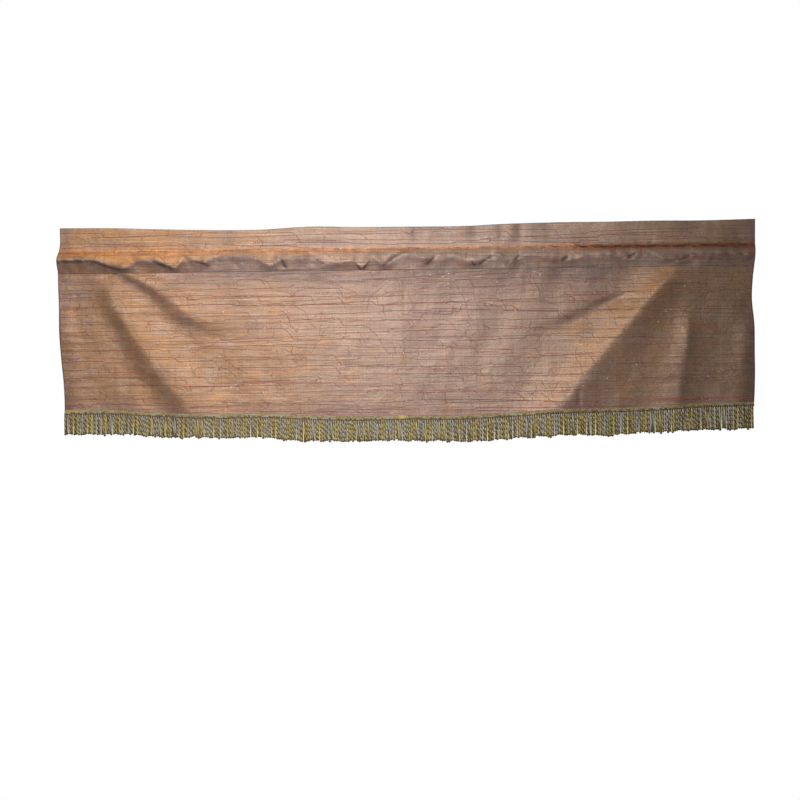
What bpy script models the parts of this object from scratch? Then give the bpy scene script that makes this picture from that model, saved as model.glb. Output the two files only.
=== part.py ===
"""A window valance: one width of cloth with a ruffled heading, a rod pocket and a bullion fringe.

Metres, +Z up, +X to the viewer's right, the front facing -Y. The origin is the middle of the top edge.
The cloth hangs as its rod holds it, with the soft folds that fall inward from both ends of the pocket.
"""

import math
import random
from bisect import bisect_right
from collections import namedtuple

import bmesh
import bpy
from mathutils import Vector

# Main sizes of the cloth
WIDTH = 1.372  # one width of furnishing cloth, 54 inches, hemmed
HEADING = 0.041  # ruffle that stands above the rod pocket
POCKET = 0.044  # rod pocket, from the upper seam to the lower one
PLY = 0.0012  # the pocket strip's cloth
FIELD = 0.0014  # the panel's cloth
HEM = 0.0024  # the panel's cloth where its edge is turned
CLEAR = 0.0004  # left between pieces that touch

# The fringe
STRANDS = 300
BRAID_HEIGHT = 0.0095  # woven header that holds the strands
BRAID_THICK = 0.0026
STRAND_SHARE = 0.73  # a strand's part of its pitch; the rest is the gap beside it
STRAND_TAPER = 0.86  # a strand's width at its tip, against its root
STRAND_UNEVEN = 0.0016  # how much longer or shorter than its neighbours a strand may be
STRAND_SWAY = 0.00022  # sideways drift of a tip
STRAND_DRIFT = 0.0012  # forward or backward drift of a tip
SEED = 11

# How finely the cloth is cut into faces
COLUMNS = 75  # across the whole width; each one holds the same number of strands
PANEL_ROWS = 13
STRANDS_A_COLUMN = STRANDS // COLUMNS
HEM_COLUMNS = 1  # a side hem is one column wide, about 18 mm
HEM_ROWS = 1  # the lower hem is as tall as the braid that covers it

# The four edges, measured down from the origin's level; x runs along the valance
Edge = namedtuple("Edge", "x top braid fringe")
EDGES = [
    Edge(-0.686, 0.0055, -0.3525, -0.402),
    Edge(-0.588, 0.0043, -0.3535, -0.401),
    Edge(-0.490, 0.0010, -0.3600, -0.408),
    Edge(-0.392, -0.0016, -0.3645, -0.4105),
    Edge(-0.294, -0.0024, -0.3640, -0.412),
    Edge(-0.196, 0.0023, -0.3690, -0.420),
    Edge(-0.098, 0.0004, -0.3720, -0.4205),
    Edge(0.000, 0.0000, -0.3710, -0.421),
    Edge(0.098, -0.0004, -0.3725, -0.424),
    Edge(0.196, 0.0030, -0.3685, -0.4205),
    Edge(0.294, 0.0048, -0.3630, -0.4145),
    Edge(0.392, 0.0046, -0.3620, -0.416),
    Edge(0.490, 0.0056, -0.3595, -0.411),
    Edge(0.588, 0.0050, -0.3545, -0.4075),
    Edge(0.686, 0.0066, -0.3530, -0.406),
]

# How far each side is drawn in from half the width, by how far down it is
Side = namedtuple("Side", "down left right")
SIDES = [
    Side(0.000, 0.0050, -0.0010),
    Side(0.030, 0.0045, -0.0005),
    Side(0.057, -0.0015, 0.0000),
    Side(0.085, 0.0000, 0.0020),
    Side(0.110, 0.0000, 0.0050),
    Side(0.150, 0.0010, 0.0070),
    Side(0.200, 0.0010, 0.0030),
    Side(0.250, 0.0040, 0.0030),
    Side(0.300, 0.0085, 0.0030),
    Side(0.350, 0.0100, 0.0050),
    Side(0.430, 0.0080, 0.0100),
]

# The strip's section, as the inner faces of its two plies: down from the top edge, and out from the middle
Station = namedtuple("Station", "down out")
FRONT_PLY = [
    Station(0.0826, 0.0000),
    Station(0.0790, 0.0046),
    Station(0.0730, 0.0098),
    Station(0.0665, 0.0130),
    Station(0.0595, 0.0140),
    Station(0.0525, 0.0112),
    Station(0.0465, 0.0058),
    Station(0.0410, 0.0004),
    Station(0.0250, 0.0006),
    Station(0.0080, 0.0006),
    Station(0.0012, 0.0004),
]
BACK_PLY = [
    Station(0.0012, 0.0004),
    Station(0.0220, 0.0006),
    Station(0.0410, 0.0004),
    Station(0.0500, 0.0030),
    Station(0.0620, 0.0042),
    Station(0.0740, 0.0034),
]

SEAM_OUT = 0.002  # a ply closer to the middle than this is held by a seam and doesn't pucker
PUCKER_REACH = 0.012  # and one that is this far out puckers fully

# Puckers in the pocket's front: place, sideways run for each metre of rise, depth inward, half width
Pucker = namedtuple("Pucker", "x slant depth half")
PUCKERS = [
    Pucker(-0.640, 0.0, -0.0012, 0.030),
    Pucker(-0.536, -0.6, 0.0045, 0.014),
    Pucker(-0.480, -1.6, -0.0020, 0.016),
    Pucker(-0.426, -1.6, 0.0030, 0.014),
    Pucker(-0.371, 0.0, 0.0035, 0.015),
    Pucker(-0.262, -1.0, 0.0035, 0.016),
    Pucker(-0.168, -1.6, 0.0035, 0.014),
    Pucker(-0.087, 0.3, 0.0040, 0.015),
    Pucker(-0.030, 1.2, 0.0045, 0.013),
    Pucker(0.059, 0.9, 0.0035, 0.014),
    Pucker(0.160, 1.4, 0.0040, 0.015),
    Pucker(0.215, 0.5, 0.0025, 0.013),
    Pucker(0.318, 0.6, 0.0035, 0.015),
    Pucker(0.392, 1.2, -0.0020, 0.016),
    Pucker(0.431, 0.8, 0.0030, 0.014),
    Pucker(0.545, 1.5, 0.0045, 0.015),
]

# Waves along the heading: place, how far the top edge leans back (minus: forward), half width
Dip = namedtuple("Dip", "x depth half")
DIPS = [
    Dip(-0.560, -0.0020, 0.050),
    Dip(-0.358, 0.0034, 0.022),
    Dip(-0.180, -0.0022, 0.060),
    Dip(0.023, 0.0030, 0.020),
    Dip(0.136, 0.0032, 0.020),
    Dip(0.210, -0.0026, 0.030),
    Dip(0.284, 0.0034, 0.026),
    Dip(0.420, -0.0022, 0.050),
    Dip(0.559, 0.0030, 0.030),
]

HEADING_RISE = 0.62  # share of the heading's height over which a wave reaches its full depth

# Folds of the panel: a crest from its upper to its lower end, bowed sideways, with a half width on each
# side. It reaches its full height after one share of its length and has died away after another, and
# its crest is round (0) to narrow (1)
RUNS_OUT = 9.0  # a fold that runs on past the lower edge
Fold = namedtuple("Fold", "name top_x top_z low_x low_z bow height left right rise ends narrow")
FOLDS = [
    Fold("left_upper", -0.613, -0.054, -0.427, -0.172, 0.020, 0.0085, 0.018, 0.036, 0.40, 1.4, 0.0),
    Fold("left_main", -0.603, -0.074, -0.440, -0.335, -0.018, 0.0120, 0.032, 0.062, 0.45, RUNS_OUT, 0.0),
    Fold("left_side", -0.676, -0.120, -0.655, -0.340, 0.000, 0.003, 0.030, 0.030, 0.45, RUNS_OUT, 0.0),
    Fold("middle_soft", -0.190, -0.120, -0.240, -0.380, 0.000, 0.004, 0.120, 0.120, 0.45, RUNS_OUT, 0.0),
    Fold("right_hollow", 0.440, -0.130, 0.300, -0.206, 0.000, -0.005, 0.018, 0.018, 0.30, 1.3, 0.0),
    Fold("right_main", 0.562, -0.060, 0.320, -0.336, -0.008, 0.019, 0.046, 0.064, 0.22, RUNS_OUT, 0.7),
    Fold("right_low", 0.556, -0.160, 0.530, -0.346, 0.004, 0.007, 0.036, 0.024, 0.35, RUNS_OUT, 0.6),
    Fold("right_side", 0.674, -0.150, 0.655, -0.340, 0.000, 0.005, 0.030, 0.030, 0.45, RUNS_OUT, 0.0),
]
FOLD_NARROW = 0.5  # a fold's width at its upper end, against its lower one
FOLD_FADE = 0.5  # share of its length over which a fold that ends dies away
CREST_ROUND = 0.22  # a narrow crest is round over this share of the half width
CREST_FALL = 1.25  # and falls away at this rate

# The panel's columns of points fan out upward, along its two main folds: share of the width, low and high
Fan = namedtuple("Fan", "low high")
FANS = [
    Fan(0.000, 0.000),
    Fan(0.179, 0.060),
    Fan(0.500, 0.500),
    Fan(0.733, 0.908),
    Fan(1.000, 1.000),
]

CREASE_ANGLE = math.radians(50.0)  # faces that meet more sharply than this are shaded apart

# Colours, linear
COPPER = (0.36, 0.21, 0.13, 1.0)
OLIVE = (0.23, 0.19, 0.07, 1.0)


def ease(share):
    """Smooth step from 0 to 1."""
    share = min(max(share, 0.0), 1.0)
    return share * share * (3.0 - 2.0 * share)


def hump(distance, half):
    """Bell of height 1 with the given half width."""
    return math.exp(-((distance / half) ** 2))


def read(table, key, column, at):
    """One column of a table between its rows, on a smooth curve through them."""
    keys = [getattr(row, key) for row in table]
    values = [getattr(row, column) for row in table]
    at = min(max(at, keys[0]), keys[-1])
    low = min(bisect_right(keys, at) - 1, len(keys) - 2)

    def slope(index):
        before = max(index - 1, 0)
        after = min(index + 1, len(keys) - 1)
        return (values[after] - values[before]) / (keys[after] - keys[before])

    span = keys[low + 1] - keys[low]
    share = (at - keys[low]) / span
    start = values[low]
    rise = values[low + 1] - start
    bend_in = slope(low) * span
    bend_out = slope(low + 1) * span
    blend = ease(share)
    curl_in = share * (1.0 - share) ** 2
    curl_out = share**2 * (share - 1.0)
    return start + rise * blend + bend_in * curl_in + bend_out * curl_out


def fold_forward(fold, x, z):
    """How far one fold of the panel stands forward at a place."""
    reach = (fold.top_z - z) / (fold.top_z - fold.low_z)
    if reach <= 0.0:
        return 0.0
    bowed = fold.bow * 4.0 * reach * (1.0 - reach) if reach < 1.0 else 0.0
    crest = fold.top_x + (fold.low_x - fold.top_x) * reach + bowed
    lean = math.atan2(fold.low_x - fold.top_x, fold.top_z - fold.low_z)
    across = (x - crest) * math.cos(lean)
    spread = FOLD_NARROW + (1.0 - FOLD_NARROW) * min(reach, 1.0)
    far = across / (spread * (fold.left if across < 0.0 else fold.right))
    roof = math.exp(CREST_FALL * (CREST_ROUND - math.hypot(far, CREST_ROUND)))
    shape = fold.narrow * roof + (1.0 - fold.narrow) * hump(far, 1.0)
    risen = ease(reach / fold.rise)
    not_faded = ease((fold.ends - reach) / FOLD_FADE)
    return fold.height * risen * not_faded * shape


def drape(x, z):
    """How far the hanging panel stands forward of the hanging plane."""
    return sum(fold_forward(fold, x, z) for fold in FOLDS)


def across_at(share, down):
    """World x of a place that is a share of the way across the cloth, so far down it."""
    left = -WIDTH / 2.0 + read(SIDES, "down", "left", down)
    right = WIDTH / 2.0 - read(SIDES, "down", "right", down)
    return left + (right - left) * share


def level_x(share):
    """The same place on a cloth with straight sides, which is what the edge tables are read by."""
    return WIDTH * (share - 0.5)


def gridded(columns, rows, place):
    """A grid primitive with each point moved to place(column, row), and its points by (column, row)."""
    mesh = bmesh.new()
    mesh.verts.layers.deform.verify()  # before there are points, because it would drop them
    bmesh.ops.create_grid(mesh, x_segments=columns, y_segments=rows, size=1.0)
    points = {}
    for point in mesh.verts:
        column = round((point.co.x + 1.0) * columns / 2.0)
        row = round((point.co.y + 1.0) * rows / 2.0)
        point.co = place(column, row)
        points[column, row] = point
    return mesh, points


def roll(mesh, points, columns, rows):
    """Join a grid's last row of points onto its first one, which makes it a tube along X."""
    joined = {points[column, rows]: points[column, 0] for column in range(columns + 1)}
    bmesh.ops.weld_verts(mesh, targetmap=joined)


def new_object(name, mesh, material, collection):
    """An object of that name from a bmesh, with its material, in the parts collection."""
    data = bpy.data.meshes.new(name)
    mesh.to_mesh(data)
    mesh.free()
    data.materials.append(material)
    made = bpy.data.objects.new(name, data)
    collection.objects.link(made)
    data.shade_smooth()
    data.set_sharp_from_angle(angle=CREASE_ANGLE)
    return made


def new_material(name, colour, roughness, metallic):
    """A Principled material of one colour."""
    made = bpy.data.materials.new(name)
    made.use_nodes = True
    shader = made.node_tree.nodes["Principled BSDF"]
    shader.inputs["Base Color"].default_value = colour
    shader.inputs["Roughness"].default_value = roughness
    shader.inputs["Metallic"].default_value = metallic
    made.diffuse_color = colour
    return made


def thicken(made, thickness, side, group=None, thinnest=1.0):
    """Give a sheet its thickness, outward (1) or inward (-1) of its faces."""
    solid = made.modifiers.new("cloth", "SOLIDIFY")
    solid.thickness = thickness
    solid.offset = side
    solid.use_even_offset = True
    if group:
        solid.vertex_group = group
        solid.thickness_vertex_group = thinnest


def strip_point(share, station, side):
    """A place on the inner face of the strip's front (side -1) or back (side 1) ply."""
    x = across_at(share, station.down)
    flat_x = level_x(share)
    above = max(0.0, 1.0 - station.down / HEADING)  # 1 at the top edge, 0 from the upper seam down
    below = ease((station.down - HEADING) / POCKET)  # 0 at the upper seam, 1 at the lower one
    z = -station.down + read(EDGES, "x", "top", flat_x) * above
    wave = sum(dip.depth * hump(x - dip.x, dip.half) for dip in DIPS) * ease(above / HEADING_RISE)
    seam_forward = drape(x, -HEADING - POCKET)
    pull = below**2 if side < 0.0 else below**4  # the rod keeps the back ply flat
    y = side * station.out + wave - seam_forward * pull
    if side < 0.0 and station.out > SEAM_OUT:
        middle = HEADING + POCKET / 2.0
        fullness = min(1.0, station.out / PUCKER_REACH)
        for pucker in PUCKERS:
            offset = x - pucker.x - pucker.slant * (middle - station.down)
            y += pucker.depth * fullness * hump(offset, pucker.half)
    return Vector((x, y, z))


def make_rod_pocket(material, collection):
    """Heading and pocket: one ply folded over the top and closed on itself at the lower seam."""
    ring = [(station, -1.0) for station in FRONT_PLY] + [(station, 1.0) for station in BACK_PLY]
    rows = len(ring)

    def place(column, row):
        station, side = ring[row % rows]
        return strip_point(column / COLUMNS, station, side)

    mesh, points = gridded(COLUMNS, rows, place)
    roll(mesh, points, COLUMNS, rows)
    made = new_object("rod_pocket", mesh, material, collection)
    thicken(made, PLY, 1.0)
    return made


def panel_top():
    """Level of the panel's upper edge, just under the pocket's lower seam."""
    return -HEADING - POCKET - CLEAR


def panel_point(share, row):
    """A place on the panel's front; the last two rows are the edges of the braid's seat."""
    depth = min(row / (PANEL_ROWS - 1), 1.0)
    high_share = read(FANS, "low", "high", share)
    row_share = high_share + (share - high_share) * depth
    braid_top = read(EDGES, "x", "braid", level_x(row_share))
    if row < PANEL_ROWS:
        z = panel_top() + (braid_top - panel_top()) * depth
    else:
        z = braid_top - BRAID_HEIGHT
    x = across_at(row_share, -z)
    return Vector((x, -drape(x, z), z))


def make_panel(material, collection):
    """The hanging cloth below the pocket, thicker along its turned sides and lower edge."""

    def place(column, row):
        point = panel_point(column / COLUMNS, PANEL_ROWS - row)
        if row == 0:
            point.z += CLEAR  # the cloth ends a hair above the braid's lower edge
        return point

    mesh, points = gridded(COLUMNS, PANEL_ROWS, place)
    deform = mesh.verts.layers.deform.active
    for (column, row), point in points.items():
        turned = min(column, COLUMNS - column) <= HEM_COLUMNS or row <= HEM_ROWS
        point[deform][0] = 1.0 if turned else 0.0
    made = new_object("panel", mesh, material, collection)
    made.vertex_groups.new(name="hem")
    thicken(made, HEM, -1.0, "hem", FIELD / HEM)
    return made


def on_panel(share, row):
    """A place on the panel's front as its faces have it: straight between two columns of points."""
    exact = share * COLUMNS
    before = min(math.floor(exact), COLUMNS - 1)
    start = panel_point(before / COLUMNS, row)
    end = panel_point((before + 1) / COLUMNS, row)
    return start.lerp(end, exact - before)


def hang_strand(mesh, root, strand, dice):
    """Draw one strand down out of its root to its own length, a little narrower at the tip."""
    flat_x = level_x((strand + 0.5) / STRANDS)
    tip_z = read(EDGES, "x", "fringe", flat_x) + dice.uniform(-STRAND_UNEVEN, STRAND_UNEVEN)
    sway = dice.uniform(-STRAND_SWAY, STRAND_SWAY)
    drift = dice.uniform(-STRAND_DRIFT, STRAND_DRIFT)
    middle = root.calc_center_median()
    share = (strand + 0.5 * STRAND_SHARE) / STRANDS
    middle_x = across_at(share, -tip_z)
    tip = bmesh.ops.extrude_discrete_faces(mesh, faces=[root])["faces"][0]
    for point in tip.verts:
        from_middle = (point.co - middle) * STRAND_TAPER
        point.co = Vector((middle_x + sway + from_middle.x, middle.y + drift + from_middle.y, tip_z))


def make_bullion_fringe(material, collection):
    """A braid in front of the panel's lower edge, with strands drawn down out of its underside."""
    lines = 2 * STRANDS - 1
    section = [  # row of the panel, and layer of the braid: 0 at the panel, 1 at the front
        (PANEL_ROWS, 0.0),
        (PANEL_ROWS, 1.0),
        (PANEL_ROWS - 1, 1.0),
        (PANEL_ROWS - 1, 0.0),
    ]
    sides = len(section)

    def place(line, row):
        strand, past = divmod(line, 2)
        level, layer = section[row % sides]
        seat = on_panel((strand + past * STRAND_SHARE) / STRANDS, level)
        seat.y -= CLEAR + BRAID_THICK * layer
        return seat

    mesh, points = gridded(lines, sides, place)
    roll(mesh, points, lines, sides)
    bmesh.ops.holes_fill(mesh, edges=[edge for edge in mesh.edges if edge.is_boundary], sides=sides)

    # the braid needs no points of its own above its strands, but where the panel bends
    spare = []
    for line in range(1, lines):
        if line % (2 * STRANDS_A_COLUMN):
            ring = [points[line, row] for row in (1, 2, 3, 0)]
            spare += [mesh.edges.get(pair) for pair in zip(ring, ring[1:])]
    bmesh.ops.dissolve_edges(mesh, edges=spare, use_verts=True)

    dice = random.Random(SEED)
    for strand in range(STRANDS):
        line = 2 * strand
        corners = [points[line, 0], points[line, 1], points[line + 1, 1], points[line + 1, 0]]
        hang_strand(mesh, mesh.faces.get(corners), strand, dice)
    return new_object("bullion_fringe", mesh, material, collection)


def main():
    """Clear the scene and build the valance's three pieces."""
    for old in list(bpy.data.objects):
        bpy.data.objects.remove(old, do_unlink=True)
    collection = bpy.data.collections.new("window_valance")
    bpy.context.scene.collection.children.link(collection)

    strip_cloth = new_material("strip_cloth", COPPER, roughness=0.45, metallic=0.15)
    panel_cloth = new_material("panel_cloth", COPPER, roughness=0.45, metallic=0.15)
    fringe_yarn = new_material("fringe_yarn", OLIVE, roughness=0.60, metallic=0.0)
    make_rod_pocket(strip_cloth, collection)
    make_panel(panel_cloth, collection)
    make_bullion_fringe(fringe_yarn, collection)


main()
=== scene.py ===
"""The looks of a window valance: crushed shot taffeta with wandering threads, over a bullion fringe.

Metres, in the frame's own axes: +Z up, +X to the viewer's right, the front facing -Y.
"""

import math
import random
from collections import namedtuple

import bpy
import numpy as np
from mathutils import Matrix, Vector


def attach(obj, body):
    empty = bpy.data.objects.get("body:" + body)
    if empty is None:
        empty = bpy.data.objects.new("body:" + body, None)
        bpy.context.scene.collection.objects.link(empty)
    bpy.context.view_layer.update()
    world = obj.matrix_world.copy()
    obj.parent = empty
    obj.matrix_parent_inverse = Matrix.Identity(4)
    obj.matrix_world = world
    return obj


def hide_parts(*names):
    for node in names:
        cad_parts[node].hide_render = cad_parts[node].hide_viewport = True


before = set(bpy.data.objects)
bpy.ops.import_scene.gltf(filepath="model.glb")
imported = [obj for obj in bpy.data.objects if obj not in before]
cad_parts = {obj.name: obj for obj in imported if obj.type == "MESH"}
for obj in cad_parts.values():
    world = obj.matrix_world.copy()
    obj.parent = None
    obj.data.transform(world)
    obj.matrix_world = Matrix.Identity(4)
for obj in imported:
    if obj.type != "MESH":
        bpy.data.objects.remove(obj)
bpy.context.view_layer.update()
ROOT = "root"


def table(columns, *rows):
    """Rows with named columns."""
    row_kind = namedtuple("Row", columns)
    return [row_kind(*row) for row in rows]


# Main sizes of the cloth, as in the solids
WIDTH = 1.372
HEADING = 0.041  # ruffle that stands above the rod pocket
POCKET = 0.044  # rod pocket, from the upper seam to the lower one
SEAM_LOW = HEADING + POCKET
FACE = 0.0016  # a flat ply's outer face, from the plane in which the cloth hangs
CLOTH = 0.0005  # one layer of the cloth
CLEAR = 0.0004  # left between pieces that touch
SIDE_HEM = 0.018
BACK_HEM = 0.0025  # what shows of the back ply's turned edge, below the lower seam
TUCK = 0.0022  # how far up inside the pocket the panel starts
TOP_ROUND = 0.004  # how far down the heading its rounded top edge reaches
EDGE_DOWN = {"top": 0.0, "braid": 0.36, "fringe": 0.40}  # how far down the sides are read for each edge

# Levels of the heading's top edge, the braid's top and the ropes' tips, by x along the valance
EDGES = table(
    "x top braid fringe",
    (-0.686, 0.0055, -0.3525, -0.402),
    (-0.588, 0.0043, -0.3535, -0.401),
    (-0.490, 0.0010, -0.3600, -0.408),
    (-0.392, -0.0016, -0.3645, -0.4105),
    (-0.294, -0.0024, -0.3640, -0.412),
    (-0.196, 0.0023, -0.3690, -0.420),
    (-0.098, 0.0004, -0.3720, -0.4205),
    (0.000, 0.0000, -0.3710, -0.421),
    (0.098, -0.0004, -0.3725, -0.424),
    (0.196, 0.0030, -0.3685, -0.4205),
    (0.294, 0.0048, -0.3630, -0.4145),
    (0.392, 0.0046, -0.3620, -0.416),
    (0.490, 0.0056, -0.3595, -0.411),
    (0.588, 0.0050, -0.3545, -0.4075),
    (0.686, 0.0066, -0.3530, -0.406),
)

# How far each side is drawn in from half the width, by how far down it is
SIDES = table(
    "down left right",
    (0.000, 0.0050, -0.0010),
    (0.030, 0.0045, -0.0005),
    (0.057, -0.0015, 0.0000),
    (0.085, 0.0000, 0.0020),
    (0.110, 0.0000, 0.0050),
    (0.150, 0.0010, 0.0070),
    (0.200, 0.0010, 0.0030),
    (0.250, 0.0040, 0.0030),
    (0.300, 0.0085, 0.0030),
    (0.350, 0.0100, 0.0050),
    (0.430, 0.0080, 0.0100),
)

# The pocket's crest, where it stands out furthest, wanders up and down along the valance
CRESTS = table(
    "x down",
    (-0.686, 0.0566),
    (-0.615, 0.0570),
    (-0.592, 0.0650),
    (-0.555, 0.0740),
    (-0.520, 0.0590),
    (-0.495, 0.0620),
    (-0.455, 0.0760),
    (-0.435, 0.0560),
    (-0.405, 0.0680),
    (-0.368, 0.0540),
    (-0.300, 0.0550),
    (-0.268, 0.0730),
    (-0.248, 0.0640),
    (-0.185, 0.0550),
    (-0.150, 0.0730),
    (-0.110, 0.0660),
    (-0.087, 0.0790),
    (-0.067, 0.0600),
    (-0.046, 0.0760),
    (-0.008, 0.0500),
    (0.050, 0.0660),
    (0.090, 0.0600),
    (0.140, 0.0730),
    (0.178, 0.0540),
    (0.210, 0.0690),
    (0.235, 0.0540),
    (0.310, 0.0690),
    (0.383, 0.0590),
    (0.430, 0.0680),
    (0.460, 0.0580),
    (0.530, 0.0730),
    (0.560, 0.0610),
    (0.686, 0.0625),
)
FULLNESS = 0.0125  # how far the front ply stands out at its crest
DITCH_DEPTH = 0.0005  # the upper seam draws the cloth in
DITCH_MIDDLE = 0.0012  # below the heading
DITCH_HALF = 0.0016
ROOF_SHARPNESS = 2.2  # how narrow the crest is: the higher, the more like a roof

# The back ply lies against the rod: down from the top edge, and out from the middle
BACK_PLY = table(
    "down out",
    (0.0000, 0.0000),
    (0.0410, 0.0000),
    (0.0500, 0.0026),
    (0.0620, 0.0038),
    (0.0740, 0.0030),
    (0.0850, 0.0006),
    (0.0900, 0.0004),
)

# Puckers in the pocket's front: place, sideways run for each metre of rise, depth inward, half width
PUCKERS = table(
    "x slant depth half",
    (-0.640, 0.0, -0.0012, 0.030),
    (-0.536, -0.6, 0.0045, 0.014),
    (-0.480, -1.6, -0.0020, 0.016),
    (-0.426, -1.6, 0.0030, 0.014),
    (-0.371, 0.0, 0.0035, 0.015),
    (-0.262, -1.0, 0.0035, 0.016),
    (-0.168, -1.6, 0.0035, 0.014),
    (-0.087, 0.3, 0.0040, 0.015),
    (-0.030, 1.2, 0.0045, 0.013),
    (0.059, 0.9, 0.0035, 0.014),
    (0.160, 1.4, 0.0040, 0.015),
    (0.215, 0.5, 0.0025, 0.013),
    (0.318, 0.6, 0.0035, 0.015),
    (0.392, 1.2, -0.0020, 0.016),
    (0.431, 0.8, 0.0030, 0.014),
    (0.545, 1.5, 0.0045, 0.015),
)
PUCKER_REACH = 0.012  # a ply that is this far out puckers fully

# Waves along the heading: place, how far the top edge leans back (minus: forward), half width
DIPS = table(
    "x depth half",
    (-0.560, -0.0020, 0.050),
    (-0.358, 0.0034, 0.022),
    (-0.180, -0.0022, 0.060),
    (0.021, 0.0030, 0.011),
    (0.136, 0.0028, 0.016),
    (0.188, 0.0024, 0.011),
    (0.206, -0.0022, 0.030),
    (0.223, 0.0026, 0.010),
    (0.284, 0.0034, 0.024),
    (0.420, -0.0022, 0.050),
    (0.559, 0.0030, 0.030),
)
HEADING_RISE = 0.62  # share of the heading's height over which a wave reaches its full depth

# Folds of the panel: a crest from its upper to its lower end, bowed sideways, with a half width on each
# side. It reaches its full height after one share of its length and has died away after another, and
# its crest is round (0) to narrow (1)
RUNS_OUT = 9.0  # a fold that runs on past the lower edge
FOLDS = table(
    "name top_x top_z low_x low_z bow height left right rise ends narrow",
    ("left_upper", -0.613, -0.054, -0.427, -0.172, 0.020, 0.0085, 0.018, 0.036, 0.40, 1.4, 0.0),
    ("left_main", -0.603, -0.074, -0.440, -0.335, -0.018, 0.0112, 0.032, 0.066, 0.45, RUNS_OUT, 0.0),
    ("left_side", -0.676, -0.120, -0.655, -0.340, 0.000, 0.003, 0.030, 0.030, 0.45, RUNS_OUT, 0.0),
    ("middle_soft", -0.190, -0.120, -0.240, -0.380, 0.000, 0.004, 0.120, 0.120, 0.45, RUNS_OUT, 0.0),
    ("right_hollow", 0.440, -0.130, 0.300, -0.206, 0.000, -0.005, 0.018, 0.018, 0.30, 1.3, 0.0),
    ("right_main", 0.562, -0.060, 0.320, -0.336, -0.008, 0.019, 0.046, 0.064, 0.22, RUNS_OUT, 0.7),
    ("right_low", 0.556, -0.160, 0.530, -0.346, 0.004, 0.007, 0.036, 0.024, 0.35, RUNS_OUT, 0.6),
    ("right_side", 0.674, -0.150, 0.655, -0.340, 0.000, 0.005, 0.030, 0.030, 0.45, RUNS_OUT, 0.0),
)
FOLD_NARROW = 0.5  # a fold's width at its upper end, against its lower one
FOLD_FADE = 0.5  # share of its length over which a fold that ends dies away
CREST_ROUND = 0.22  # a narrow crest is round over this share of the half width
CREST_FALL = 1.25  # and falls away at this rate

# The panel stays a little forward just below the pocket's lower seam, but not at the left
BELLY = 0.0030
BELLY_DROP = 0.020
BELLY_LEFT = (-0.46, -0.26)

# Small creases in the cloth's front, each from one end to the other, as a soft trough (minus: a ridge)
CREASES = table(
    "x z end_x end_z depth half",
    (-0.0035, -0.085, -0.0065, -0.190, 0.0009, 0.0035),
    (-0.0065, -0.170, -0.0030, -0.290, 0.0009, 0.0032),
    (0.233, -0.086, 0.234, -0.150, 0.0006, 0.0050),
    (-0.684, -0.100, -0.660, -0.097, 0.0006, 0.0026),
    (-0.684, -0.131, -0.658, -0.128, 0.0008, 0.0028),
    (-0.684, -0.150, -0.662, -0.149, 0.0008, 0.0028),
    (-0.683, -0.171, -0.650, -0.168, 0.0006, 0.0028),
    (-0.684, -0.208, -0.629, -0.212, 0.0013, 0.0034),
    (-0.680, -0.242, -0.655, -0.236, 0.0006, 0.0028),
    (-0.678, -0.262, -0.652, -0.258, 0.0008, 0.0032),
    (-0.676, -0.306, -0.650, -0.300, 0.0006, 0.0032),
    (0.335, -0.318, 0.337, -0.362, 0.0022, 0.0050),
    (0.305, -0.340, 0.322, -0.322, 0.0014, 0.0050),
    (-0.362, -0.338, -0.358, -0.360, 0.0020, 0.0040),
    (-0.345, -0.345, -0.371, -0.352, -0.0012, 0.0040),
)
POCKET_CREASES = table(
    "x z end_x end_z depth half",
    (-0.512, -0.058, -0.444, -0.083, 0.0008, 0.0050),
    (-0.427, -0.061, -0.379, -0.074, 0.0007, 0.0040),
    (-0.249, -0.055, -0.234, -0.084, 0.0008, 0.0038),
    (-0.184, -0.059, -0.157, -0.075, 0.0007, 0.0032),
    (-0.105, -0.066, -0.086, -0.088, 0.0009, 0.0030),
    (-0.089, -0.088, -0.067, -0.058, 0.0009, 0.0034),
    (-0.055, -0.086, -0.012, -0.047, 0.0011, 0.0040),
    (0.033, -0.080, 0.059, -0.058, 0.0007, 0.0034),
    (0.124, -0.068, 0.139, -0.082, 0.0008, 0.0032),
    (0.134, -0.082, 0.174, -0.055, 0.0010, 0.0036),
    (0.210, -0.072, 0.224, -0.056, 0.0008, 0.0034),
    (0.302, -0.074, 0.320, -0.060, 0.0008, 0.0050),
    (0.430, -0.069, 0.454, -0.057, 0.0007, 0.0060),
    (0.524, -0.077, 0.566, -0.061, 0.0010, 0.0042),
)
CREASE_FADE = 0.3  # share of a crease's length over which it dies away at each end

# Patches where the panel is darker: middle, half widths and strength
DARK_PATCHES = table(
    "x z half_x half_z strength",
    (0.346, -0.3535, 0.006, 0.004, 1.50),
    (-0.668, -0.3485, 0.007, 0.005, 1.30),
    (0.530, -0.3200, 0.040, 0.070, 0.55),
    (-0.660, -0.1100, 0.050, 0.035, 0.45),
)

# Crumple: soft waves in drawn directions, from the shortest to the longest, with the shortest one's depth
CRUMPLE_SEED = 5
Crumple = namedtuple("Crumple", "waves short long depth")
CLOTH_CRUMPLE = Crumple(26, 0.024, 0.110, 0.00005)
POCKET_CRUMPLE = Crumple(16, 0.011, 0.034, 0.00010)
POCKET_MIDDLE = 0.55  # where the pocket's own crumple is deepest, as a share of the pocket's height
POCKET_REACH = 0.40  # and its half width, as such a share

# How finely the cloth is cut into faces
STRIP_COLUMNS = 550
PANEL_COLUMNS = 480
STRIP_STEP = 0.0017
PANEL_STEP = 0.0034

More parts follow.
